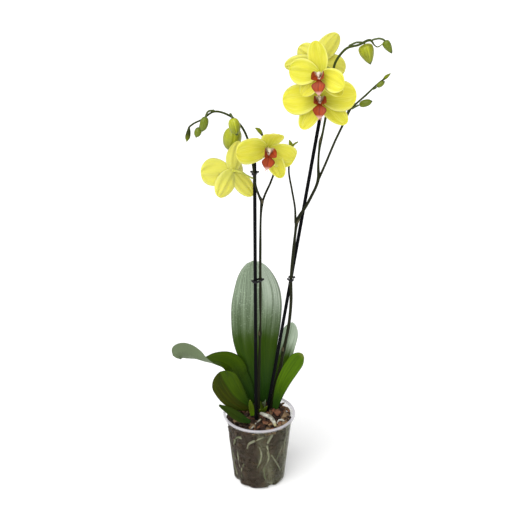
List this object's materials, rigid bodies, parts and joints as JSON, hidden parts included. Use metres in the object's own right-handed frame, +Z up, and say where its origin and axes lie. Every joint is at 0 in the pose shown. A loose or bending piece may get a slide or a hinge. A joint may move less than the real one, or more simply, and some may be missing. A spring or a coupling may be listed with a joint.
{
  "type": "potted orchid",
  "caption": "Potted moth orchid with open yellow flowers and buds on two arching spikes tied to canes, strap leaves, bark and a clear nursery pot.",
  "frame": {"origin": "centre of the pot's flat underside, where it rests on a surface", "axes": "+Z up along the pot's axis; the plant's front, which its near flowers face, looks along -Y; +X is the plant's right as seen from the front, where the taller spike leans"},
  "size_m": [0.3321, 0.1417, 0.7423],
  "materials": {
    "clear_plastic": "gloss",
    "bark": "matte",
    "bark_chip": "matte",
    "root": "matte",
    "crown_green": "satin",
    "leaf_silver": "satin",
    "leaf_olive": "satin",
    "leaf_green": "satin",
    "spike_green": "satin",
    "cane_black": "satin",
    "clip_black": "gloss",
    "bud_green": "satin",
    "sepal_yellow": "matte",
    "petal_yellow": "matte",
    "lip_orange": "satin",
    "column_cream": "satin"
  },
  "bodies": {
    "root": {"bark_bed": "bark", "bud_branch_first": "bud_green", "bud_branch_second": "bud_green", "bud_left_first": "bud_green", "bud_left_fourth": "bud_green", "bud_left_second": "bud_green", "bud_left_third": "bud_green", "bud_right_first": "bud_green", "bud_right_second": "bud_green", "chip_back": "bark_chip", "chip_left": "bark_chip", "chip_right": "bark_chip", "chip_tan": "bark_chip", "clip_left_lower": "clip_black", "clip_left_upper": "clip_black", "clip_right": "clip_black", "crown": "crown_green", "flower_left_back_calyx": "sepal_yellow", "flower_left_back_column": "column_cream", "flower_left_back_lip": "lip_orange", "flower_left_back_petal_left": "petal_yellow", "flower_left_back_petal_right": "petal_yellow", "flower_left_front_calyx": "sepal_yellow", "flower_left_front_column": "column_cream", "flower_left_front_lip": "lip_orange", "flower_left_front_petal_left": "petal_yellow", "flower_left_front_petal_right": "petal_yellow", "flower_right_back_calyx": "sepal_yellow", "flower_right_back_column": "column_cream", "flower_right_back_lip": "lip_orange", "flower_right_back_petal_left": "petal_yellow", "flower_right_back_petal_right": "petal_yellow", "flower_right_lower_calyx": "sepal_yellow", "flower_right_lower_column": "column_cream", "flower_right_lower_lip": "lip_orange", "flower_right_lower_petal_left": "petal_yellow", "flower_right_lower_petal_right": "petal_yellow", "flower_right_upper_calyx": "sepal_yellow", "flower_right_upper_column": "column_cream", "flower_right_upper_lip": "lip_orange", "flower_right_upper_petal_left": "petal_yellow", "flower_right_upper_petal_right": "petal_yellow", "leaf_back_tall": "leaf_silver", "leaf_left_arching": "leaf_green", "leaf_left_lower": "leaf_olive", "leaf_left_pointed": "leaf_green", "leaf_left_sliver": "leaf_green", "leaf_right_back": "leaf_green", "leaf_right_front": "leaf_green", "leaf_sheath": "crown_green", "left_cane": "cane_black", "left_spike": "spike_green", "pot": "clear_plastic", "right_cane": "cane_black", "right_spike": "spike_green", "root_small": "root", "root_thin": "root", "root_white": "root"}
  },
  "joints": []
}
